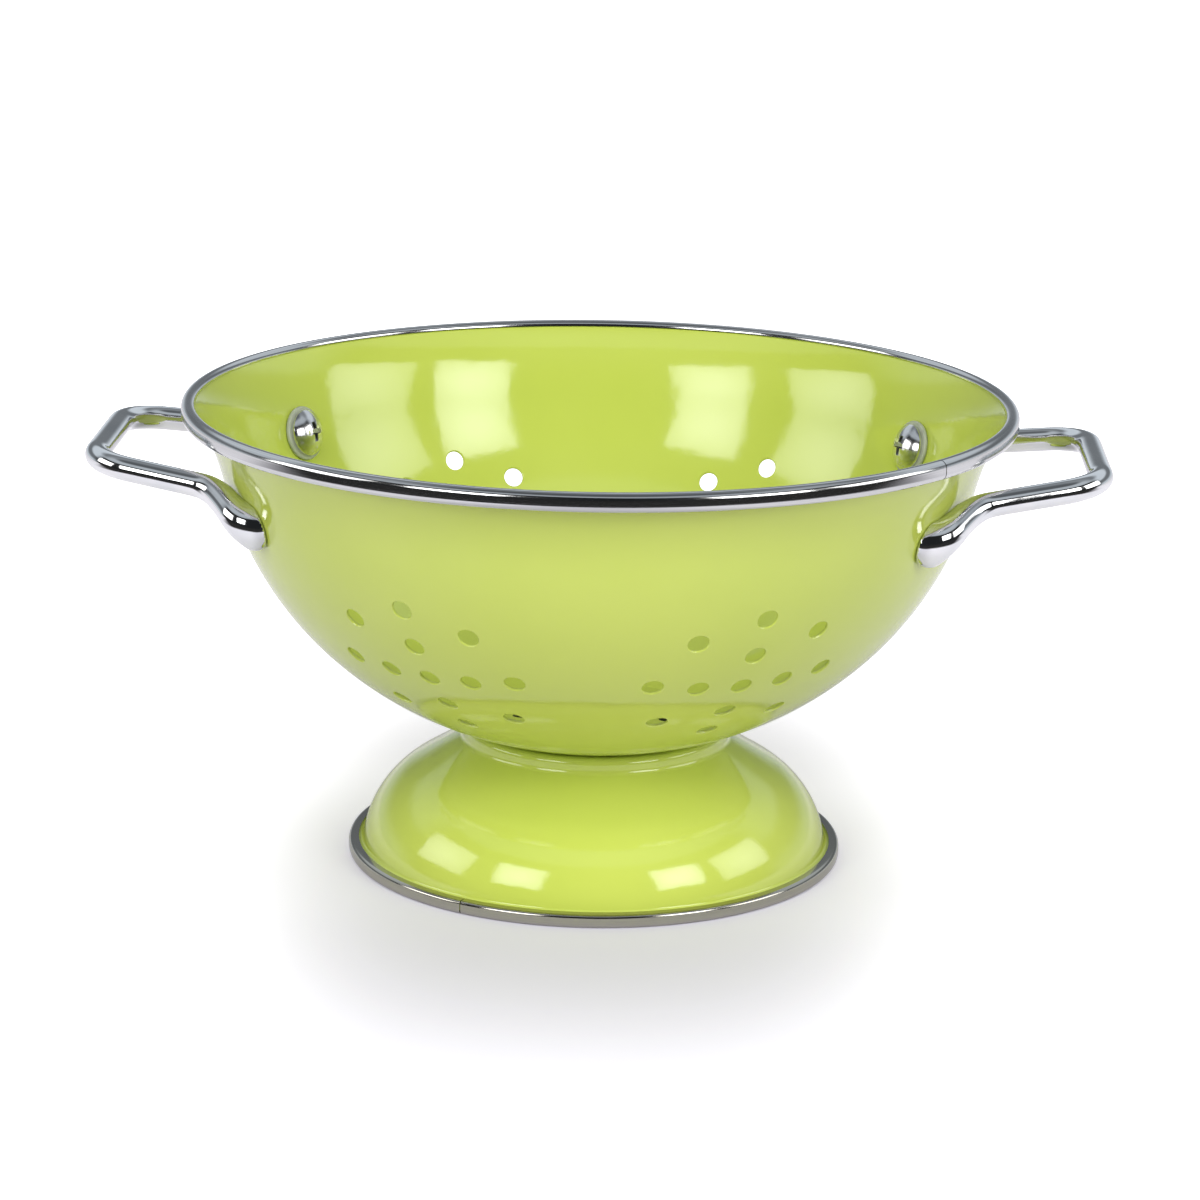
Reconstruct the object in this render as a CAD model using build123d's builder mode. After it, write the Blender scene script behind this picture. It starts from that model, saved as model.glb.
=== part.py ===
from build123d import *
from build123d.topology import SkipClean
import os
from math import atan2, cos, degrees, hypot, radians, sin, sqrt

# A small footed colander. An enamelled bowl stands on an enamelled foot, and a thin
# stainless band is crimped round the free edge of each. Two cast handles are screwed on
# from inside the bowl, with a washer under each screw head.
# Millimetres and degrees. Z is up, the foot stands on Z = 0, and the handles lie along X.
# An azimuth is counted from +X, the right, towards +Y, the rear.

# The whole object
rim_diameter = 190.0
overall_height = 107.4
foot_diameter = 114.6
sheet = 0.8
band_gauge = 0.35
seam_gap = 0.1

# Each band is drawn in this many equal lengths, with their faces kept apart
band_piece_count = 8

# Stainless band on the rim, a strip wrapped from inside the mouth over to the underside
rim_band_width = 3.25
rim_band_height = 4.3
rim_band_corner = 1.6
rim_band_lip = 1.3
rim_band_tuck = 3.75
rim_joint_azimuth = -36.8
joint_gap = 0.25

# Bowl: rolled hem, flared mouth, short shoulder, round belly, flat floor.
# A tilt is the wall's angle from upright, and a radius is that of the inside face.
curl_radius = 1.4
curl_drop = 0.6
mouth_tilt = 40.0
mouth_radius = 25.8
throat_tilt = 23.0
throat_radius = 58.8
shoulder_tilt = 14.3
shoulder_length = 3.2
belly_tilt = 45.6
belly_radius = 75.8
under_tilt = 74.0
under_radius = 83.9
heel_radius = 3.2

# Punched holes: one star of thirteen at each quarter of the belly, and one in the floor
hole_diameter = 4.6
star_pitch = 10.2
star_azimuths = (61.3, 118.7, -118.7, -61.3)
star_share = 0.81
floor_star_share = 0.308
punch_reach = 8.0

# Foot: flat top flange, upright collar, cone, rounded skirt and a flanged lower edge.
# The flange overlaps the flat of the bowl's floor, and the collar stands just outside it.
flange_overlap = 5.6
collar_overhang = 3.3
collar_corner = 1.6
collar_height = 0.95
collar_fillet = 1.6
skirt_radius_share = 0.841
skirt_tilt = 81.26
skirt_fillet = 0.9
edge_width = 0.9
hem_corner = 1.1

# Stainless band on the foot's lower edge
foot_band_width = 2.3
foot_band_height = 3.1
foot_band_corner = 0.9
foot_band_tuck = 2.6
foot_joint_azimuth = -118.7

# Handles: a round rod bent to a loop, swelling at each end to a boss on the wall
rod_diameter = 5.6
bar_overhang = 17.7
bar_drop = 12.0
bar_straight = 30.0
bar_corner = 12.5
leg_angle = 75.5
leg_length = 16.0
droop_angle = 7.5
neck_lead = 8.0
boss_rise = 5.65
boss_climb = 3.1
boss_lift = 0.3
boss_drop = 1.7
boss_radius = 5.5
neck_shares = (0.0, 0.2, 0.4, 0.6, 0.8, 0.93, 1.0)
swell_shares = (0.0, 0.1, 0.18, 0.21, 0.4, 0.68, 0.98)

# Screws and washers, square to the wall at the lower edge of the shoulder
screw_azimuth = 29.8
screw_diameter = 4.0
wall_hole_diameter = 4.6
bore_diameter = 4.1
bore_depth = 5.0
screw_bite = 4.4
head_diameter = 11.0
head_height = 3.1
head_edge = 0.9
recess_length = 5.6
recess_width = 1.25
recess_depth = 2.0
washer_diameter = 13.0
washer_thickness = 1.0

rim_radius = rim_diameter / 2
foot_radius = foot_diameter / 2
corners = {"right_rear": screw_azimuth, "left_rear": 180 - screw_azimuth,
           "left_front": 180 + screw_azimuth, "right_front": -screw_azimuth}
os.makedirs("parts", exist_ok=True)


def wall_plane(place, run, azimuth):
    """Plane square to a point and a run of the bowl's section, with Z out of the bowl."""
    origin = Vector(place.X, 0, place.Y).rotate(Axis.Z, azimuth)
    across = Vector(0, 1, 0).rotate(Axis.Z, azimuth)
    outward = Vector(-run.Y, 0, run.X).rotate(Axis.Z, azimuth)
    return Plane(origin=origin, x_dir=across, z_dir=outward)


def finish(solid, name):
    """Name a finished piece and write it out."""
    solid.label = name
    export_step(solid, f"parts/{name}.step")


# Bowl, pressed from one sheet with its edge rolled outward
curl_height = overall_height - band_gauge - curl_drop - curl_radius
hem_height = overall_height - rim_band_height + rim_band_corner
hem_radius = rim_radius - band_gauge - seam_gap


def wall_face(depth):
    """Section of the face at a depth behind the bowl's inside, from the hem to the axis."""
    hem = Line((hem_radius - depth, hem_height), (hem_radius - depth, curl_height))
    curl = JernArc(hem @ 1, hem % 1, curl_radius - depth, 180 - mouth_tilt)
    mouth = JernArc(curl @ 1, curl % 1, mouth_radius - depth, mouth_tilt - throat_tilt)
    throat = JernArc(mouth @ 1, mouth % 1, throat_radius - depth, throat_tilt - shoulder_tilt)
    shoulder = Line(throat @ 1, throat @ 1 + (throat % 1) * shoulder_length)
    belly = JernArc(shoulder @ 1, shoulder % 1, belly_radius + depth, shoulder_tilt - belly_tilt)
    under = JernArc(belly @ 1, belly % 1, under_radius + depth, belly_tilt - under_tilt)
    heel = JernArc(under @ 1, under % 1, heel_radius + depth, under_tilt - 90)
    floor = Line(heel @ 1, (0, (heel @ 1).Y))
    return hem, shoulder, belly, floor


with BuildPart() as bowl:
    with BuildSketch(Plane.XZ):
        with BuildLine():
            hem, shoulder, belly, floor = wall_face(0)
            outer_hem, _, _, underside = wall_face(sheet)
            Line(hem @ 0, outer_hem @ 0)
            Line(floor @ 1, underside @ 1)
        make_face()
    revolve(axis=Axis.Z)
    stars = [(wall_plane(belly @ star_share, belly % star_share, azimuth), star_pitch)
             for azimuth in star_azimuths]
    stars.append((Plane.XY.offset((floor @ 1).Y), (floor @ 0).X * floor_star_share))
    for plane, pitch in stars:
        with BuildSketch(plane):
            Circle(hole_diameter / 2)
            with PolarLocations(pitch, 4):
                Circle(hole_diameter / 2)
            with PolarLocations(2 * pitch, 8):
                Circle(hole_diameter / 2)
        extrude(amount=punch_reach, both=True, mode=Mode.SUBTRACT)
    for azimuth in corners.values():
        with BuildSketch(wall_plane(shoulder @ 1, shoulder % 1, azimuth)):
            Circle(wall_hole_diameter / 2)
        extrude(amount=punch_reach, both=True, mode=Mode.SUBTRACT)
finish(bowl.part, "bowl")

# Foot, pressed from one sheet; its top flange lies flat under the bowl's floor. The path
# follows the outer face down to the lower edge, which is turned out and then down.
floor_underside = (underside @ 1).Y
collar_radius = (floor @ 0).X + collar_overhang
edge_height = foot_band_height - band_gauge - seam_gap
edge_radius = foot_radius - band_gauge - seam_gap
edge_start = edge_radius - hem_corner - edge_width

# The cone is the straight run that touches both the collar's fillet and the skirt's arc
skirt_radius = (floor_underside - edge_height) * skirt_radius_share
across = (edge_start - collar_radius - collar_fillet
          - (skirt_radius + skirt_fillet) * sin(radians(skirt_tilt)))
down = (floor_underside - collar_corner - collar_height - edge_height - skirt_fillet
        + (skirt_radius + skirt_fillet) * cos(radians(skirt_tilt)))
both_radii = skirt_radius + collar_fillet
cone_length = sqrt(hypot(across, down)**2 - both_radii**2)
cone_slope = degrees(atan2(down, across) - atan2(both_radii, cone_length))
with BuildPart() as foot:
    with BuildSketch(Plane.XZ):
        with BuildLine():
            flange = Line(((floor @ 0).X - flange_overlap, floor_underside),
                          (collar_radius - collar_corner, floor_underside))
            turn = JernArc(flange @ 1, flange % 1, collar_corner, -90)
            collar = Line(turn @ 1, turn @ 1 + (turn % 1) * collar_height)
            fillet_in = JernArc(collar @ 1, collar % 1, collar_fillet, 90 - cone_slope)
            cone = Line(fillet_in @ 1, fillet_in @ 1 + (fillet_in % 1) * cone_length)
            skirt = JernArc(cone @ 1, cone % 1, skirt_radius, cone_slope - skirt_tilt)
            gutter = JernArc(skirt @ 1, skirt % 1, skirt_fillet, skirt_tilt)
            edge = Line(gutter @ 1, (edge_radius - hem_corner, edge_height))
            hem_turn = JernArc(edge @ 1, edge % 1, hem_corner, -90)
            Line(hem_turn @ 1, (edge_radius, foot_band_corner))
            offset(amount=sheet, side=Side.RIGHT)
        make_face()
    revolve(axis=Axis.Z)
finish(foot.part, "pedestal_foot")


def band_plane(azimuth):
    """Upright plane through Z, with X pointing out of the band at an azimuth."""
    outward = Vector(1, 0, 0).rotate(Axis.Z, azimuth)
    return Plane(origin=(0, 0, 0), x_dir=outward, z_dir=outward.rotate(Axis.Z, -90))


# Rim band: up inside the mouth, over the top, down the outside and back under the hem.
# The strip's two ends meet in a butt joint.
rim_band_lower = overall_height - rim_band_height
rim_piece_arc = (360 - degrees(joint_gap / rim_radius)) / band_piece_count
with SkipClean(), BuildPart() as rim_band:
    for piece in range(band_piece_count):
        with BuildSketch(band_plane(rim_joint_azimuth + rim_piece_arc * piece)):
            with BuildLine():
                lip = JernArc((rim_radius - rim_band_width, overall_height - rim_band_lip),
                              (0, 1), rim_band_lip, -90)
                top = Line(lip @ 1, (rim_radius - rim_band_corner, overall_height))
                upper_turn = JernArc(top @ 1, top % 1, rim_band_corner, -90)
                side = Line(upper_turn @ 1, (rim_radius, rim_band_lower + rim_band_corner))
                lower_turn = JernArc(side @ 1, side % 1, rim_band_corner, -90)
                Line(lower_turn @ 1, (rim_radius - rim_band_tuck, rim_band_lower))
                offset(amount=band_gauge, side=Side.RIGHT)
            make_face()
        revolve(axis=Axis.Z, revolution_arc=rim_piece_arc, clean=False)
finish(rim_band.part, "rim_band")

# Foot band: over the foot's turned edge, down the outside and in underneath
foot_piece_arc = (360 - degrees(joint_gap / foot_radius)) / band_piece_count
with SkipClean(), BuildPart() as foot_band:
    for piece in range(band_piece_count):
        with BuildSketch(band_plane(foot_joint_azimuth + foot_piece_arc * piece)):
            with BuildLine():
                top = Line((foot_radius - foot_band_width, foot_band_height),
                           (foot_radius - foot_band_corner, foot_band_height))
                upper_turn = JernArc(top @ 1, top % 1, foot_band_corner, -90)
                side = Line(upper_turn @ 1, (foot_radius, foot_band_corner))
                lower_turn = JernArc(side @ 1, side % 1, foot_band_corner, -90)
                Line(lower_turn @ 1, (foot_radius - foot_band_tuck, 0))
                offset(amount=band_gauge, side=Side.RIGHT)
            make_face()
        revolve(axis=Axis.Z, revolution_arc=foot_piece_arc, clean=False)
finish(foot_band.part, "foot_band")

# Right handle: half is drawn at +Y, from the middle of the bar to the boss, then mirrored.
# The boss has a flat pad close to the wall, and a blind bore for the screw.
seat = wall_plane(shoulder @ 1, shoulder % 1, screw_azimuth)
pad = seat.offset(sheet + seam_gap / 2)
boss = pad.origin - pad.y_dir * boss_drop + pad.z_dir * boss_lift
droop = Vector(1, 0, 0).rotate(Axis.Y, -droop_angle)
loop_plane = Plane(origin=(rim_radius + bar_overhang, 0, overall_height - bar_drop),
                   x_dir=droop, z_dir=droop.rotate(Axis.Y, -90))
with BuildLine(loop_plane) as rod:
    bar = Line((0, 0), (0, bar_straight / 2))
    bend = JernArc(bar @ 1, bar % 1, bar_corner, leg_angle)
    leg = Line(bend @ 1, bend @ 1 + (bend % 1) * leg_length)
with BuildLine() as neck:
    Bezier(leg @ 1, leg @ 1 + (leg % 1) * neck_lead,
           boss + pad.z_dir * boss_rise + pad.y_dir * boss_climb, boss)
with BuildPart() as right_handle:
    with BuildSketch(Plane(origin=bar @ 0, z_dir=bar % 0)):
        Circle(rod_diameter / 2)
    sweep(path=rod.line)
    for along, swell in zip(neck_shares, swell_shares):
        with BuildSketch(Plane(origin=neck.line @ along, x_dir=pad.y_dir, z_dir=neck.line % along)):
            Circle(rod_diameter / 2 + (boss_radius - rod_diameter / 2) * swell)
    loft()
    with Locations(boss):
        Sphere(boss_radius)
    split(bisect_by=pad, keep=Keep.TOP)
    with BuildSketch(pad):
        Circle(bore_diameter / 2)
    extrude(amount=bore_depth, mode=Mode.SUBTRACT)
    mirror(about=Plane.XZ)
finish(right_handle.part, "right_handle")

# Left handle, the same casting on the other side
with BuildPart() as left_handle:
    add(right_handle.part.mirror(Plane.YZ))
finish(left_handle.part, "left_handle")

# A flat washer clears the hollow of the wall by this much at its middle
washer_rise = belly_radius - sqrt(belly_radius**2 - (washer_diameter / 2)**2) + seam_gap / 2


def build_washer(seat, name):
    """Pale washer under a screw's head."""
    with BuildPart() as washer:
        with BuildSketch(seat.offset(-washer_rise)):
            Circle(washer_diameter / 2)
            Circle(wall_hole_diameter / 2, mode=Mode.SUBTRACT)
        extrude(amount=-washer_thickness)
    finish(washer.part, name)


def build_screw(seat, name):
    """Screw from inside the bowl: a domed head with a cross recess, and a plain shank."""
    under_head = seat.offset(-washer_rise - washer_thickness)
    head_plane = Plane(origin=under_head.origin, x_dir=seat.x_dir, z_dir=seat.y_dir)
    crown = under_head.offset(-head_height)
    with BuildPart() as screw:
        with BuildSketch(head_plane):
            with BuildLine():
                Line((0, 0), (head_diameter / 2, 0))
                Line((head_diameter / 2, 0), (head_diameter / 2, head_edge))
                dome_rise = head_height - head_edge
                dome_radius = ((head_diameter / 2)**2 + dome_rise**2) / (2 * dome_rise)
                RadiusArc((head_diameter / 2, head_edge), (0, head_height), -dome_radius)
                Line((0, head_height), (0, 0))
            make_face()
        revolve(axis=Axis(under_head.origin, seat.z_dir))
        with BuildSketch(crown):
            Rectangle(recess_length, recess_width)
            Rectangle(recess_width, recess_length)
        extrude(amount=recess_depth, mode=Mode.SUBTRACT)
        with BuildSketch(under_head):
            Circle(screw_diameter / 2)
        extrude(amount=washer_rise + washer_thickness + sheet + screw_bite)
    finish(screw.part, name)


for corner, azimuth in corners.items():
    seat = wall_plane(shoulder @ 1, shoulder % 1, azimuth)
    build_washer(seat, f"{corner}_washer")
    build_screw(seat, f"{corner}_screw")
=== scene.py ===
import bpy
from math import atan2, cos, degrees, hypot, pi, radians, sin, sqrt
from mathutils import Matrix, Vector


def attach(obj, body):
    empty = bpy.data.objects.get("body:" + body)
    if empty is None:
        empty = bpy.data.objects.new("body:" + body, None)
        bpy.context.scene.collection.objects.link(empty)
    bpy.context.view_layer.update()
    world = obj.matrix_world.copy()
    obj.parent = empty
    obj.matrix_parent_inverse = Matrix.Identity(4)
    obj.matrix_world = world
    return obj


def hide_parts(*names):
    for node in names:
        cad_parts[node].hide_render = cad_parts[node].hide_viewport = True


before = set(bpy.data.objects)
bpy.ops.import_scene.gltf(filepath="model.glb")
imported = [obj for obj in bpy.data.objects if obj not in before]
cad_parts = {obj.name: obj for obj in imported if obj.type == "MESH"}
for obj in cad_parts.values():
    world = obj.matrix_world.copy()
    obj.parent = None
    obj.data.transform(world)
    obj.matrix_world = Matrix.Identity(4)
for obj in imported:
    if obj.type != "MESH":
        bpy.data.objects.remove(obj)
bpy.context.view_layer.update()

# Camera: a long lens a little above the rim, almost square to the front. The whole object
# fills nearly nine tenths of the picture's width.
view_turn = 2.2
view_reach = 0.853425
eye_height = 0.288569
look_aside = -0.0388
look_down = 15.013
roll = 0.9028
bpy.ops.object.camera_add(location=(0, 0, 0))
camera = bpy.context.object
camera.matrix_world = (
    Matrix.Translation((view_reach * sin(radians(view_turn)),
                        -view_reach * cos(radians(view_turn)), eye_height))
    @ Matrix.Rotation(radians(view_turn + look_aside), 4, "Z")
    @ Matrix.Rotation(radians(90 - look_down), 4, "X")
    @ Matrix.Rotation(radians(roll), 4, "Z"))
camera.data.lens = 114.915
camera.data.sensor_width = 36
bpy.context.scene.camera = camera
bpy.context.scene.view_settings.view_transform = "Standard"


# Room: a white sweep of paper under and behind the object, and an even pale light from
# all round. Seen in a gloss, the room is dark towards the camera and a cool grey overhead.
class Shade:
    """A number or colour in a shader; an expression on numbers adds their Math nodes."""

    def __init__(self, paint, socket):
        self.paint, self.socket = paint, socket

    def out(self, name):
        return Shade(self.paint, self.socket.node.outputs[name])

    def calc(self, operation, first, second):
        return self.paint.node("ShaderNodeMath", {"operation": operation},
                               {0: first, 1: second})

    def __add__(self, other):
        return self.calc("ADD", self, other)

    def __rsub__(self, other):
        return self.calc("SUBTRACT", other, self)

    def __mul__(self, other):
        return self.calc("MULTIPLY", self, other)

    def __pow__(self, other):
        return self.calc("POWER", self, other)

    __radd__ = __add__
    __rmul__ = __mul__


class Paint:
    """The shader tree of a material or of the world."""

    def __init__(self, owner):
        owner.use_nodes = True
        self.tree = owner.node_tree
        self.tree.nodes.clear()

    def node(self, kind, settings=None, sockets=None, output=0):
        """Add a node, make its settings, then fill its sockets with values or links."""
        made = self.tree.nodes.new(kind)
        for name, value in (settings or {}).items():
            setattr(made, name, value)
        for name, value in (sockets or {}).items():
            if isinstance(value, Shade):
                self.tree.links.new(value.socket, made.inputs[name])
            else:
                made.inputs[name].default_value = value
        return Shade(self, made.outputs[output] if made.outputs else None)

    def ramp(self, value, low, high, start=0.0, end=1.0):
        """Smooth step from start to end while a number goes from low to high."""
        return self.node("ShaderNodeMapRange", {"interpolation_type": "SMOOTHSTEP"},
                         {"Value": value, "From Min": low, "From Max": high,
                          "To Min": start, "To Max": end})

    def blend(self, factor, first, second):
        """Colour between two colours."""
        return self.node("ShaderNodeMix", {"data_type": "RGBA"},
                         {0: factor, 6: first, 7: second}, output=2)

    def noise(self, place, scale, detail):
        return self.node("ShaderNodeTexNoise", None,
                         {"Vector": place, "Scale": scale, "Detail": detail})

    def bump(self, height, strength, depth):
        return self.node("ShaderNodeBump", None,
                         {"Strength": strength, "Distance": depth, "Height": height})

    def surface(self, sockets):
        """End the tree in one Principled surface."""
        self.node("ShaderNodeOutputMaterial", None, {
            "Surface": self.node("ShaderNodeBsdfPrincipled", None, sockets)})


world = bpy.data.worlds.new("room")
bpy.context.scene.world = world
paint = Paint(world)
rays = paint.node("ShaderNodeLightPath")
way = paint.node("ShaderNodeSeparateXYZ", None,
                 {0: paint.node("ShaderNodeTexCoord", output="Generated")})

# What a gloss shows of the room: behind the object a white foot of the wall and a pale field
# above it, overhead a grey ceiling, and in front, high up, one pale strip
behind = paint.ramp(way.out("Y"), 0.0, 0.4)
low = paint.ramp(way.out("Z"), 0.02, 0.22, 1.0, 0.0)
raised = (paint.ramp(way.out("Z"), 0.34, 0.46)
          * paint.ramp(way.out("Z"), 0.64, 0.78, 1.0, 0.0))
aloft = paint.ramp(way.out("Z"), 0.7, 0.95)
front_aloft = (paint.ramp(way.out("Z"), 0.66, 0.72)
               * paint.ramp(way.out("Z"), 0.84, 0.94, 1.0, 0.0))
seen_in_gloss = (0.02 + behind * (0.2 + 0.6 * low + 0.6 * raised) + 0.12 * aloft
                 + (1 - behind) * 0.55 * front_aloft)

# The room's own light on the object falls off towards the ceiling, and the camera sees white
dimmed = paint.ramp(way.out("Z"), 0.4, 0.95, 1.0, 0.2)
plain = rays.out("Is Camera Ray") + 0.4 * dimmed * rays.out("Is Diffuse Ray")
strength = (plain + rays.out("Is Transmission Ray") * (1 - rays.out("Is Camera Ray"))
            + rays.out("Is Glossy Ray") * seen_in_gloss * (1 - rays.out("Is Diffuse Ray")))
cool = paint.blend(rays.out("Is Glossy Ray"), (1, 1, 1, 1), (0.84, 0.92, 1.0, 1))
paint.node("ShaderNodeOutputWorld", None, {"Surface": paint.node(
    "ShaderNodeBackground", None, {"Color": cool, "Strength": strength})})

bpy.ops.object.select_all(action="DESELECT")
bpy.ops.mesh.primitive_plane_add(size=12, location=(0, 0, 0))
floor = bpy.context.object
floor.name = "paper_sweep"
paper = bpy.data.materials.new("white_paper")
paint = Paint(paper)
rays = paint.node("ShaderNodeLightPath")
place = paint.node("ShaderNodeSeparateXYZ", None,
                   {0: paint.node("ShaderNodeTexCoord", output="Object")})
across_squared = place.out("X") * place.out("X")
away = (across_squared + place.out("Y") * place.out("Y")) ** 0.5

# The paper is lifted to white away from the object, most of all beside and behind it, so that
# the shadow stays in front. In a gloss the paper ends a little way in front of the object.
far = paint.ramp(away, 0.3, 0.39)
whitened = (paint.ramp(away, 0.07, 0.2, 0.03, 0.65)
            + paint.ramp(across_squared, 0.0, 0.012, 0.0, 0.9)
            + paint.ramp(place.out("Y"), -0.03, 0.06, 0.0, 0.4))
dark = rays.out("Is Glossy Ray") * far * paint.ramp(place.out("Y"), -0.15, 0.12, 1.0, 0.0)
seen = rays.out("Is Camera Ray") + 0.28 * rays.out("Is Glossy Ray")
lit = paint.node("ShaderNodeAddShader", None, {
    0: paint.node("ShaderNodeBsdfDiffuse", None, {"Color": (0.76, 0.74, 0.84, 1)}),
    1: paint.node("ShaderNodeEmission", None,
                  {"Color": (1, 1, 1, 1), "Strength": seen * whitened})})
edge = paint.node("ShaderNodeEmission", None, {"Color": (1, 1, 1, 1), "Strength": 0.03})
paint.node("ShaderNodeOutputMaterial", None, {"Surface": paint.node(
    "ShaderNodeMixShader", None, {0: dark, 1: lit, 2: edge})})
floor.data.materials.append(paper)

# Lamps: four soft boxes a little above the eye, two in front and two at the sides, which the
# enamel and the chrome show as white patches, and one broad lamp that shows in no gloss. The
# side boxes are there only to be seen.
aim = Vector((0, 0, 0.07))
lamp_reach = 1.6


def hang_lamp(name, azimuth, climb, wide, tall, glare, lights_all=True):
    """Lamp facing the object, with its place and its size given as angles in degrees."""
    turned = radians(azimuth + view_turn)
    way = Vector((sin(turned) * cos(radians(climb)), -cos(turned) * cos(radians(climb)),
                  sin(radians(climb))))
    bpy.ops.object.light_add(type="AREA", location=aim + way * lamp_reach)
    lamp = bpy.context.object
    lamp.name = name
    lamp.rotation_euler = (-way).to_track_quat("-Z", "Y").to_euler()
    lamp.data.shape = "RECTANGLE"
    lamp.data.size = 2 * lamp_reach * sin(radians(wide / 2))
    lamp.data.size_y = 2 * lamp_reach * sin(radians(tall / 2))
    lamp.data.energy = glare * pi * lamp.data.size * lamp.data.size_y
    lamp.visible_diffuse = lights_all
    paint = Paint(lamp.data)
    place = paint.node("ShaderNodeSeparateXYZ", None,
                       {0: paint.node("ShaderNodeNewGeometry", output="Parametric")})
    inward = 4 * place.out("X") * (1 - place.out("X"))
    upward = 4 * place.out("Y") * (1 - place.out("Y"))
    soft_edge = paint.ramp(inward, 0.0, 0.3) * paint.ramp(upward, 0.0, 0.3)
    cover = soft_edge * (0.65 + 0.45 * inward * upward)
    paint.node("ShaderNodeOutputLight", None, {"Surface": paint.node(
        "ShaderNodeEmission", None, {"Color": (1, 1, 1, 1), "Strength": cover})})
    return lamp


hang_lamp("left_front_lamp", -38, 22.5, 27, 23, 5.5)
hang_lamp("right_front_lamp", 44, 22.5, 27, 23, 6.1)
hang_lamp("left_side_lamp", -82, 20.5, 34, 25, 3.6, lights_all=False)
hang_lamp("right_side_lamp", 82, 20.5, 34, 26, 3.5, lights_all=False)
key_lamp = hang_lamp("key_lamp", 0, 48, 84, 34, 3.1)
key_lamp.visible_glossy = False

# Bowl: pressed from one steel sheet, rolled outward at its edge, punched with stars of
# round holes, then coated all over with glossy yellow-green enamel that rounds each hole.
mm = 0.001
sheet = 0.8 * mm
half_sheet = sheet / mm / 2
turns = 288


def rotate_about(centre, axis, angle):
    """Turn what is selected in edit mode about an axis through a point, right-handed."""
    axis = Vector(axis).normalized()
    side = axis.orthogonal().normalized()
    bpy.ops.transform.rotate(value=angle, orient_axis="Z", orient_type="GLOBAL",
                             orient_matrix=(tuple(side), tuple(axis.cross(side)), tuple(axis)),
                             orient_matrix_type="GLOBAL", constraint_axis=(False, False, True),
                             center_override=tuple(centre))


class Section:
    """Outline of a round piece in the XZ plane, drawn from one vertex by runs and arcs."""

    def __init__(self, name, x, z, heading):
        bpy.ops.object.select_all(action="DESELECT")
        bpy.ops.mesh.primitive_plane_add(size=mm, location=(0, 0, 0))
        self.piece = bpy.context.object
        self.piece.name = name
        bpy.ops.object.mode_set(mode="EDIT")
        bpy.ops.mesh.merge(type="CENTER")
        bpy.ops.transform.translate(value=(x * mm, 0, z * mm))
        self.x, self.z, self.heading = x, z, heading

    def run(self, length, steps=1):
        across = length * cos(radians(self.heading))
        up = length * sin(radians(self.heading))
        for _ in range(steps):
            bpy.ops.mesh.extrude_region_move(
                TRANSFORM_OT_translate={"value": (across / steps * mm, 0, up / steps * mm)})
        self.x, self.z = self.x + across, self.z + up

    def run_to(self, x, z):
        self.heading = degrees(atan2(z - self.z, x - self.x))
        self.run(hypot(x - self.x, z - self.z))

    def arc(self, radius, turn, steps):
        """Tangent arc; a positive turn goes from +X towards +Z. Gives its middle and radius."""
        side = 1 if turn > 0 else -1
        centre_x = self.x - side * radius * sin(radians(self.heading))
        centre_z = self.z + side * radius * cos(radians(self.heading))
        bpy.ops.mesh.spin(steps=steps, angle=radians(turn),
                          center=(centre_x * mm, 0, centre_z * mm), axis=(0, 1, 0))
        self.heading += turn
        self.x = centre_x + side * radius * sin(radians(self.heading))
        self.z = centre_z - side * radius * cos(radians(self.heading))
        return centre_x, centre_z, radius

    def revolve(self, start=0.0, sweep=360.0, steps=turns):
        """Spin the whole outline about Z, merge its seam and point its faces outwards."""
        bpy.ops.mesh.select_all(action="SELECT")
        rotate_about((0, 0, 0), (0, 0, 1), radians(start))
        bpy.ops.mesh.spin(steps=steps, angle=-radians(sweep), center=(0, 0, 0), axis=(0, 0, 1))
        bpy.ops.mesh.select_all(action="SELECT")
        bpy.ops.mesh.remove_doubles(threshold=0.0001 * mm)
        bpy.ops.mesh.normals_make_consistent(inside=False)
        bpy.ops.object.mode_set(mode="OBJECT")
        return self.piece

    def thicken(self, gauge):
        """Give the sheet its gauge, behind the faces that the outline drew."""
        wall = self.piece.modifiers.new("gauge", "SOLIDIFY")
        wall.thickness = gauge
        wall.offset = -1
        wall.use_even_offset = True
        bpy.ops.object.modifier_apply(modifier=wall.name)


floor_top = 31.6305
floor_flat = 27.5749
belly_curve = 75.8
belly_turn = 31.3
wall_lean = 14.3
section = Section("enamel_bowl", 0, floor_top, 0)
section.run(floor_flat, 6)
section.arc(3.2, 16, 4)
under = section.arc(83.9, 28.4, 26)
under_top = section.z
belly = section.arc(belly_curve, belly_turn, 26)
seat = (section.x, section.z)
section.run(3.2, 2)
section.arc(58.8, -8.7, 5)
section.arc(25.8, -17, 7)
section.arc(1.4, -140, 12)
section.run_to(94.55, 104.7)
bowl = section.revolve()
section.thicken(sheet)
bpy.ops.object.shade_smooth()

# What the smooth sheet looks like before it is punched; its normals go on to the punched one
bpy.ops.object.duplicate()
unpunched = bpy.context.object

# One punch for all the round holes. Its waist is the hole, and it widens in an arc towards
# both faces of the sheet, so that the cut leaves the edges as round as the enamel makes them.
hole_radius = 2.3
edge_round = 0.4
punch_half = 2.2
arc_lead = 15
flare = edge_round * (1 - sin(radians(arc_lead)))
straight = punch_half - edge_round * cos(radians(arc_lead))
section = Section("hole_punch", 0, -punch_half, 0)
section.run(hole_radius + flare)
section.heading = 90
section.run(straight)
section.heading = 180 - arc_lead
section.arc(edge_round, 2 * arc_lead - 180, 6)
section.heading = 90
section.run(straight)
section.heading = 180
section.run(hole_radius + flare)
punch = section.revolve(steps=36)


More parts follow.
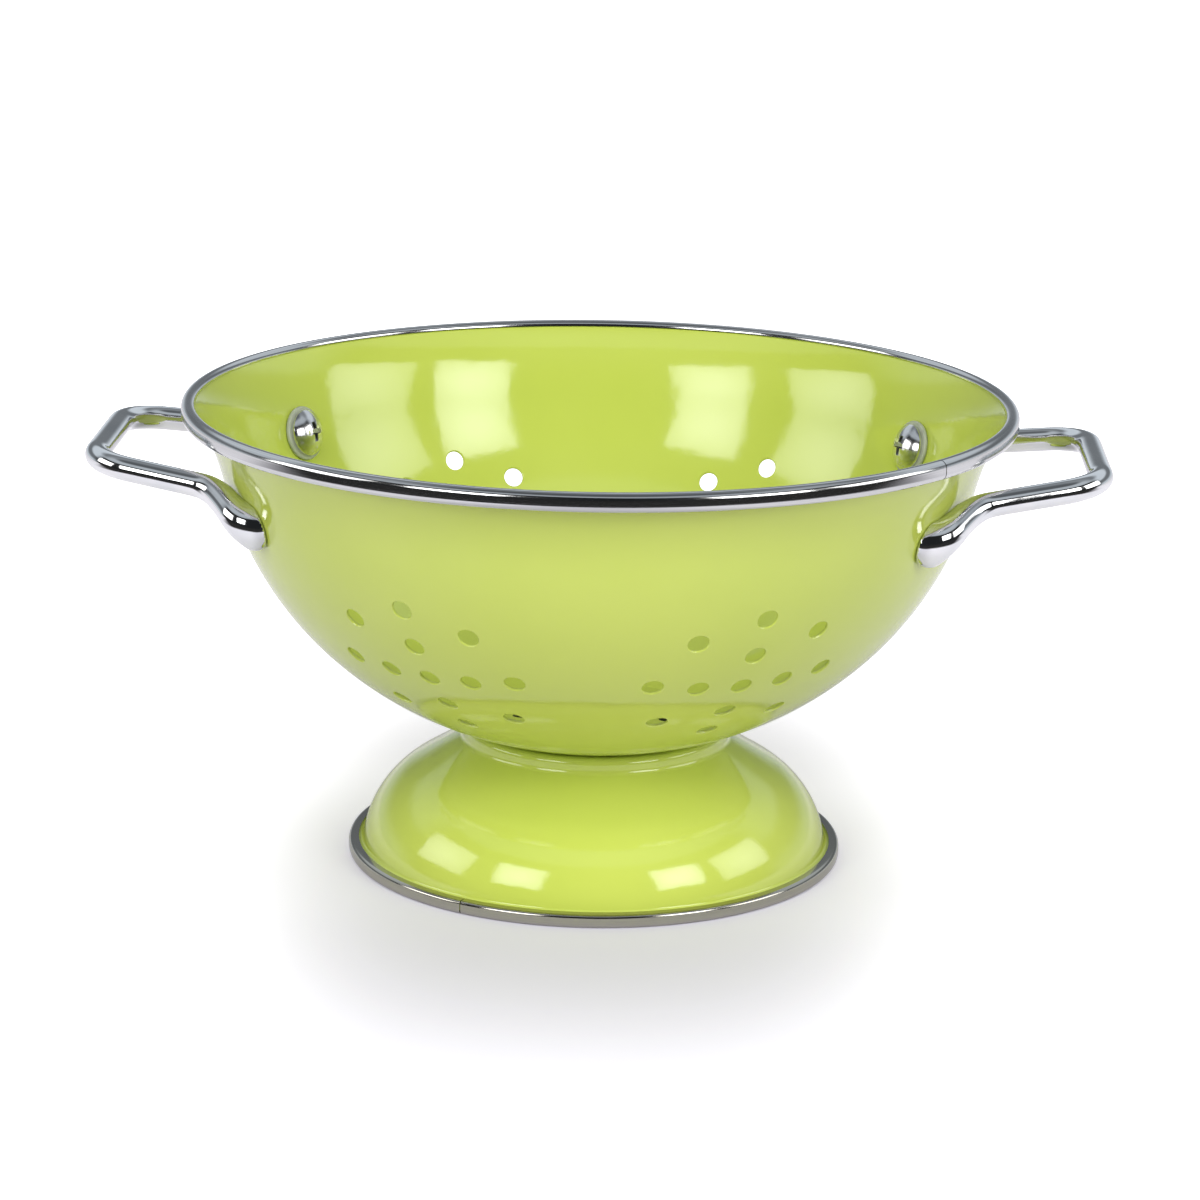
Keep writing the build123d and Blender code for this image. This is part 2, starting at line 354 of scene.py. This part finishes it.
def wall_at(point, way):
    """Middle of the sheet, and its outward normal, on a line through a point, in mm."""
    point, way = Vector(point), Vector(way).normalized()
    for _ in range(6):
        radius = hypot(point.x, point.y)
        middle = belly if point.z > under_top else under
        reach = hypot(radius - middle[0], point.z - middle[1])
        lean = (radius - middle[0]) / reach
        normal = Vector((lean * point.x / radius, lean * point.y / radius,
                         (point.z - middle[1]) / reach))
        point = point + way * (middle[2] + half_sheet - reach) / normal.dot(way)
    return point, normal


punches = []


def set_punch(place, normal):
    """Copy of the punch at a place in mm, square to the sheet."""
    made = punch.copy()
    made.data = punch.data.copy()
    bpy.context.collection.objects.link(made)
    made.data.transform(Matrix.Translation(Vector(place) * mm)
                        @ Vector(normal).to_track_quat("Z", "Y").to_matrix().to_4x4())
    punches.append(made)


def star(pitch):
    """One hole, four round it, and eight more at twice the distance."""
    spots = [(0.0, 0.0)]
    spots += [(pitch * cos(k * pi / 2), pitch * sin(k * pi / 2)) for k in range(4)]
    spots += [(2 * pitch * cos(k * pi / 4), 2 * pitch * sin(k * pi / 4)) for k in range(8)]
    return spots


star_pitch = 10.2
floor_pitch = floor_flat * 0.308
star_slope = radians(wall_lean + 0.81 * belly_turn)
for azimuth in (61.3, 118.7, -118.7, -61.3):
    about = Matrix.Rotation(radians(azimuth), 3, "Z")
    out_way = about @ Vector((cos(star_slope), 0, -sin(star_slope)))
    up_way = about @ Vector((sin(star_slope), 0, cos(star_slope)))
    side_way = about @ Vector((0, 1, 0))
    centre = about @ Vector((belly[0] + belly_curve * cos(star_slope), 0,
                             belly[1] - belly_curve * sin(star_slope)))
    for right, up in star(star_pitch):
        set_punch(*wall_at(centre + side_way * right + up_way * up, out_way))
for right, up in star(floor_pitch):
    set_punch((right, up, floor_top - half_sheet), (0, 0, -1))

# The four screw holes, square to the wall at the lower end of its straight shoulder
corners = {"right_rear": 29.8, "left_rear": 150.2, "left_front": 209.8, "right_front": -29.8}


def corner_frame(azimuth):
    """Seat of a screw on the inside of the wall: its axes are across, up and out of it."""
    about = Matrix.Rotation(radians(azimuth), 4, "Z")
    lean = radians(wall_lean)
    return about @ Matrix(((0, sin(lean), cos(lean), seat[0]), (1, 0, 0, 0),
                           (0, cos(lean), -sin(lean), seat[1]), (0, 0, 0, 1)))


for azimuth in corners.values():
    placed = corner_frame(azimuth)
    set_punch(placed @ Vector((0, 0, half_sheet)), placed.col[2].to_3d())

bpy.ops.object.select_all(action="DESELECT")
for made in punches:
    made.select_set(True)
bpy.context.view_layer.objects.active = punches[0]
bpy.ops.object.join()
all_punches = bpy.context.object
cut = bowl.modifiers.new("punched", "BOOLEAN")
cut.object = all_punches
cut.solver = "EXACT"
bpy.context.view_layer.objects.active = bowl
bpy.ops.object.modifier_apply(modifier=cut.name)

# The flat of the sheet keeps the normals of the smooth sheet, and only the rounded lips of
# the holes have their own
on_sheet = bowl.vertex_groups.new(name="sheet")
flat = [v.index for v in bowl.data.vertices
        if (unpunched.closest_point_on_mesh(v.co)[1] - v.co).length < 0.01 * mm]
on_sheet.add(flat, 1.0, "REPLACE")
handed = bowl.modifiers.new("normals", "DATA_TRANSFER")
handed.object = unpunched
handed.use_loop_data = True
handed.data_types_loops = {"CUSTOM_NORMAL"}
handed.loop_mapping = "POLYINTERP_NEAREST"
handed.vertex_group = on_sheet.name
bpy.ops.object.modifier_apply(modifier=handed.name)
for spare in (unpunched, all_punches, punch):
    bpy.data.objects.remove(spare)

# Enamel: glossy glass over a flat yellow-green, faintly uneven as it flowed in the kiln
enamel = bpy.data.materials.new("yellow_green_enamel")
paint = Paint(enamel)
place = paint.node("ShaderNodeTexCoord", output="Object")
cloud = paint.noise(place, 22.0, 2.0)
ripple = paint.noise(place, 210.0, 1.0)
grain = paint.noise(place, 1500.0, 1.0)
paint.surface({
    "Base Color": paint.blend(paint.ramp(cloud, 0.3, 0.7),
                              (0.57, 0.675, 0.105, 1), (0.6, 0.7, 0.12, 1)),
    "Roughness": 0.06 + 0.05 * cloud, "IOR": 1.62,
    "Normal": paint.bump(ripple + 0.12 * grain, 0.35, 0.12 * mm)})


def coat(piece, material):
    piece.data.materials.clear()
    piece.data.materials.append(material)


coat(bowl, enamel)
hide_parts("bowl")
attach(bowl, "root")

# Foot: a second pressed sheet, spot-welded by its flat flange under the bowl's floor and
# enamelled with it. A collar, a cone, a rounded skirt, and an edge turned out and down.
section = Section("enamel_foot", 21.9749, floor_top - 2 * half_sheet, 0)
section.run(7.3, 3)
section.arc(1.6, -90, 8)
section.run(0.95)
section.arc(1.6, 58.5, 8)
section.run(13.2003, 8)
section.arc(23.6998, -49.76, 24)
section.arc(0.9, 81.26, 8)
section.run(0.9)
section.arc(1.1, -90, 6)
section.run(0.65)
foot = section.revolve()
section.thicken(sheet)
bpy.ops.object.shade_smooth_by_angle(angle=radians(40))
coat(foot, enamel)
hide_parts("pedestal_foot")
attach(foot, "root")

# Rim band: a strip of bright rolled stainless, wrapped over the rolled edge of the bowl and
# crimped under it. Its ends meet in a butt joint at the right front.
band_gauge = 0.35 * mm
joint_gap = 0.25
section = Section("rim_band_strip", 91.75, 106.1, 90)
section.arc(1.3, -90, 8)
section.run(0.35)
section.arc(1.6, -90, 10)
section.run(1.1, 2)
section.arc(1.6, -90, 10)
section.run(2.15)
rim_band = section.revolve(start=-36.8, sweep=360 - degrees(joint_gap / 95))
section.thicken(band_gauge)
bpy.ops.object.shade_smooth_by_angle(angle=radians(40))


def rolled_steel(name, tone, scratch):
    """Stainless strip with fine lengthwise lines: rings that hardly change round the strip."""
    steel = bpy.data.materials.new(name)
    paint = Paint(steel)
    place = paint.node("ShaderNodeTexCoord", output="Object")
    drawn = paint.node("ShaderNodeMapping", None,
                       {"Vector": place, "Scale": (18.0, 18.0, 5200.0)})
    lines = paint.noise(drawn, 1.0, 3.0)
    patches = paint.noise(place, 46.0, 3.0)
    paint.surface({
        "Base Color": paint.blend(paint.ramp(lines, 0.3, 0.7),
                                  tuple(0.86 * c for c in tone) + (1,), tone + (1,)),
        "Metallic": 1.0, "Roughness": 0.04 + 0.1 * lines + 0.05 * patches,
        "Normal": paint.bump(lines + 0.6 * patches, scratch, 0.03 * mm)})
    return steel


coat(rim_band, rolled_steel("bright_rolled_steel", (0.66, 0.66, 0.66), 0.35))
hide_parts("rim_band")
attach(rim_band, "root")

# Foot band: the same strip, narrower, crimped round the foot's turned edge. The object
# stands on it. Its joint is at the left front.
section = Section("foot_band_strip", 55.0, 3.1, 0)
section.run(1.4)
section.arc(0.9, -90, 8)
section.run(1.3, 2)
section.arc(0.9, -90, 8)
section.run(1.7)
foot_band = section.revolve(start=-118.7, sweep=360 - degrees(joint_gap / 57.3))
section.thicken(band_gauge)
bpy.ops.object.shade_smooth_by_angle(angle=radians(40))
# Its tone is darker than the rim band's steel: painted shade, for the shadow under the bowl that
# the foot band stands in.
coat(foot_band, rolled_steel("warm_steel_with_painted_shade", (0.46, 0.445, 0.39), 0.5))
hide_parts("foot_band")
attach(foot_band, "root")

# Handles: zinc castings plated with chrome. A round bar is bent to a loop, and its ends
# swell to bosses that are screwed to the wall. One half is drawn out from a ring of points,
# which is made a little fuller, as the rounding shrinks it.
rod_radius = 2.8
boss_radius = 5.72
ring = 20
fuller = 3 / (2 + cos(2 * pi / ring))
bar_half = 15
bend = radians(75.5)
bend_radius = 12.5
leg_length = 16
droop = radians(7.5)
loop_out = Vector((cos(droop), 0, sin(droop)))
loop_axis = Vector((-sin(droop), 0, cos(droop)))
bar_middle = Vector((112.7, 0, 95.4))
placed = corner_frame(corners["right_rear"])
wall_out, wall_up = placed.col[2].to_3d(), placed.col[1].to_3d()
pad_point = placed @ Vector((0, 0, 0.85))
boss_point = pad_point - 1.7 * wall_up + 0.3 * wall_out

bpy.ops.object.select_all(action="DESELECT")
bpy.ops.mesh.primitive_circle_add(vertices=ring, radius=rod_radius * fuller * mm,
                                  fill_type="NOTHING", rotation=(pi / 2, 0, 0),
                                  location=bar_middle * mm)
right_handle = bpy.context.object
right_handle.name = "right_chrome_handle"
bpy.ops.object.transform_apply(location=True, rotation=True, scale=True)
bpy.ops.object.mode_set(mode="EDIT")
bpy.ops.mesh.select_all(action="SELECT")


def draw_out(move, steps=1):
    for _ in range(steps):
        bpy.ops.mesh.extrude_region_move(
            TRANSFORM_OT_translate={"value": tuple(Vector(move) / steps * mm)})


draw_out((0, bar_half, 0), 3)
bend_middle = bar_middle + Vector((0, bar_half, 0)) - bend_radius * loop_out
bpy.ops.mesh.spin(steps=10, angle=-bend, center=tuple(bend_middle * mm), axis=tuple(loop_axis))
turned = Matrix.Rotation(bend, 3, loop_axis)
leg_way = turned @ Vector((0, 1, 0))
draw_out(leg_length * leg_way, 3)
leg_end = bend_middle + bend_radius * (turned @ loop_out) + leg_length * leg_way

# The neck follows one smooth curve from the leg to the boss, and thickens on its way
neck = (leg_end, leg_end + 8 * leg_way, boss_point + 5.65 * wall_out + 3.1 * wall_up, boss_point)


def on_neck(t):
    """Point and heading on the neck's curve, at a share of it."""
    a, b, c, d = neck
    point = a * (1 - t)**3 + b * 3 * t * (1 - t)**2 + c * 3 * t * t * (1 - t) + d * t**3
    return point, ((b - a) * (1 - t)**2 + (c - b) * 2 * t * (1 - t) + (d - c) * t * t).normalized()


here, heading, thick = leg_end, leg_way, rod_radius
for t, thicker in ((0.08, 2.93), (0.16, 3.05), (0.25, 3.17), (0.335, 3.27), (0.42, 3.32),
                   (0.5, 3.35), (0.59, 3.45), (0.67, 3.67), (0.755, 3.92), (0.835, 4.3),
                   (0.9, 4.7), (0.955, 5.15), (1.0, 5.64)):
    there, next_heading = on_neck(t)
    draw_out(there - here)
    rotate_about(there * mm, heading.cross(next_heading), heading.angle(next_heading))
    bpy.ops.transform.resize(value=(thicker / thick,) * 3, center_override=tuple(there * mm))
    here, heading, thick = there, next_heading, thicker
for rise in (1.7, 3.2, 4.4, 5.1):
    there = boss_point + rise * heading
    thinner = sqrt(boss_radius**2 - rise**2)
    draw_out(there - here)
    bpy.ops.transform.resize(value=(thinner / thick,) * 3, center_override=tuple(there * mm))
    here, thick = there, thinner
bpy.ops.mesh.edge_face_add()
bpy.ops.object.mode_set(mode="OBJECT")
rounding = right_handle.modifiers.new("rounding", "SUBSURF")
rounding.levels = rounding.render_levels = 2
bpy.ops.object.modifier_apply(modifier=rounding.name)

# The boss is ground flat where it meets the wall, with its edge just broken in three steps
pad_edge = 0.3
bpy.ops.object.mode_set(mode="EDIT")
bpy.ops.mesh.select_all(action="SELECT")
bpy.ops.mesh.bisect(plane_co=tuple((pad_point + pad_edge * wall_out) * mm),
                    plane_no=tuple(wall_out), use_fill=True, clear_inner=True,
                    threshold=0.0001 * mm)
for deeper, narrower in ((0.15, 0.99), (0.1, 0.977), (0.05, 0.965)):
    draw_out(-deeper * wall_out)
    bpy.ops.transform.resize(value=(narrower,) * 3, center_override=tuple(boss_point * mm))
bpy.ops.object.mode_set(mode="OBJECT")
other_half = right_handle.modifiers.new("other_half", "MIRROR")
other_half.use_axis = (False, True, False)
other_half.merge_threshold = 0.01 * mm
bpy.ops.object.modifier_apply(modifier=other_half.name)
bpy.ops.object.mode_set(mode="EDIT")
bpy.ops.mesh.select_all(action="SELECT")
bpy.ops.mesh.normals_make_consistent(inside=False)
bpy.ops.object.mode_set(mode="OBJECT")
bpy.ops.object.shade_smooth_by_angle(angle=radians(35))

chrome = bpy.data.materials.new("plated_chrome")
paint = Paint(chrome)
place = paint.node("ShaderNodeTexCoord", output="Object")
haze = paint.noise(place, 90.0, 3.0)
paint.surface({
    "Base Color": paint.blend(paint.ramp(haze, 0.35, 0.65),
                              (0.73, 0.74, 0.75, 1), (0.8, 0.8, 0.8, 1)),
    "Metallic": 1.0, "Roughness": 0.05 + 0.05 * haze,
    "Normal": paint.bump(paint.noise(place, 260.0, 2.0), 0.3, 0.06 * mm)})
coat(right_handle, chrome)
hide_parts("right_handle")
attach(right_handle, "root")

bpy.ops.object.duplicate()
left_handle = bpy.context.object
left_handle.name = "left_chrome_handle"
left_handle.data.name = "left_chrome_handle"
left_handle.data.transform(Matrix.Diagonal((-1, 1, 1, 1)))
bpy.ops.object.mode_set(mode="EDIT")
bpy.ops.mesh.select_all(action="SELECT")
bpy.ops.mesh.normals_make_consistent(inside=False)
bpy.ops.object.mode_set(mode="OBJECT")
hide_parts("left_handle")
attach(left_handle, "root")

# Screws: plated, with a domed head and a cross recess, driven from inside the bowl through
# the wall into the bosses. The first is drawn upright, with its head up.
head_base = 1.329
section = Section("plated_screw", 0, -5.2, 0)
section.run(1.7)
section.run_to(2.0, -4.9)
section.run_to(2.0, head_base)
section.heading = 0
section.run(3.3)
section.arc(0.2, 90, 3)
section.run(0.52)
section.arc(0.3, 46.4, 4)
section.arc(7.841, 43.6, 12)
first_screw = section.revolve(steps=48)

# One slot of the cross, wider at its mouth than at its floor, is cut twice
crown = head_base + 3.1
recess_depth = 2.0
slot_length, slot_width, slot_height = 2.6, 0.8, 2.6
bpy.ops.object.select_all(action="DESELECT")
bpy.ops.mesh.primitive_cube_add(size=mm, location=(0, 0, 0))
wing = bpy.context.object
bpy.ops.object.mode_set(mode="EDIT")
bpy.ops.transform.resize(value=(slot_length, slot_width, slot_height))
bpy.ops.transform.translate(value=(0, 0, (crown - recess_depth + slot_height / 2) * mm))
bpy.ops.mesh.select_all(action="DESELECT")
bpy.ops.object.mode_set(mode="OBJECT")
for face in wing.data.polygons:
    face.select = face.normal.z > 0.9
bpy.ops.object.mode_set(mode="EDIT")
bpy.ops.transform.resize(value=(2.35, 1.75, 1), center_override=(0, 0, 0))
bpy.ops.object.mode_set(mode="OBJECT")
for _ in range(2):
    wing.data.transform(Matrix.Rotation(pi / 2, 4, "Z"))
    recess = first_screw.modifiers.new("recess", "BOOLEAN")
    recess.object = wing
    recess.solver = "EXACT"
    bpy.context.view_layer.objects.active = first_screw
    bpy.ops.object.modifier_apply(modifier=recess.name)
bpy.data.objects.remove(wing)
bpy.ops.object.select_all(action="DESELECT")
first_screw.select_set(True)
bpy.ops.object.shade_smooth_by_angle(angle=radians(32))

plated = bpy.data.materials.new("plated_screw")
paint = Paint(plated)
place = paint.node("ShaderNodeTexCoord", output="Object")
rub = paint.noise(place, 700.0, 3.0)
paint.surface({
    "Base Color": paint.blend(paint.ramp(rub, 0.3, 0.7),
                              (0.66, 0.66, 0.66, 1), (0.76, 0.76, 0.76, 1)),
    "Metallic": 1.0, "Roughness": 0.1 + 0.12 * rub,
    "Normal": paint.bump(rub, 0.4, 0.02 * mm)})
coat(first_screw, plated)

# Washers: pale, slightly see-through plastic, one under each screw's head. The first is
# drawn round the first screw, and both are then copied to the four corners.
section = Section("pale_washer", 2.3, head_base - 0.85, -90)
section.arc(0.15, 90, 3)
section.run(3.6)
section.arc(0.45, 90, 5)
section.run(0.1)
section.arc(0.45, 90, 5)
section.run(3.6)
section.arc(0.15, 90, 3)
section.run(0.7)
first_washer = section.revolve(steps=64)
bpy.ops.object.shade_smooth()

pale = bpy.data.materials.new("pale_plastic")
paint = Paint(pale)
place = paint.node("ShaderNodeTexCoord", output="Object")
milk = paint.noise(place, 500.0, 2.0)
paint.surface({
    "Base Color": paint.blend(paint.ramp(milk, 0.3, 0.7),
                              (0.62, 0.67, 0.52, 1), (0.7, 0.74, 0.6, 1)),
    "Roughness": 0.25 + 0.2 * milk, "Transmission Weight": 0.4, "IOR": 1.5,
    "Normal": paint.bump(milk, 0.3, 0.03 * mm)})
coat(first_washer, pale)

for corner, azimuth in corners.items():
    into_bowl = corner_frame(azimuth) @ Matrix.Rotation(pi, 4, "Y")
    for first, title, kind, slot in ((first_screw, "plated_screw", "screw", "chrome_screw"),
                                     (first_washer, "pale_washer", "washer", "pale_washer")):
        piece = first.copy()
        piece.data = first.data.copy()
        piece.name = f"{corner}_{title}"
        bpy.context.collection.objects.link(piece)
        piece.data.transform(Matrix.Scale(mm, 4) @ into_bowl @ Matrix.Scale(1 / mm, 4))
        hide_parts(f"{corner}_{kind}")
        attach(piece, "root")
for first in (first_screw, first_washer):
    bpy.data.objects.remove(first)
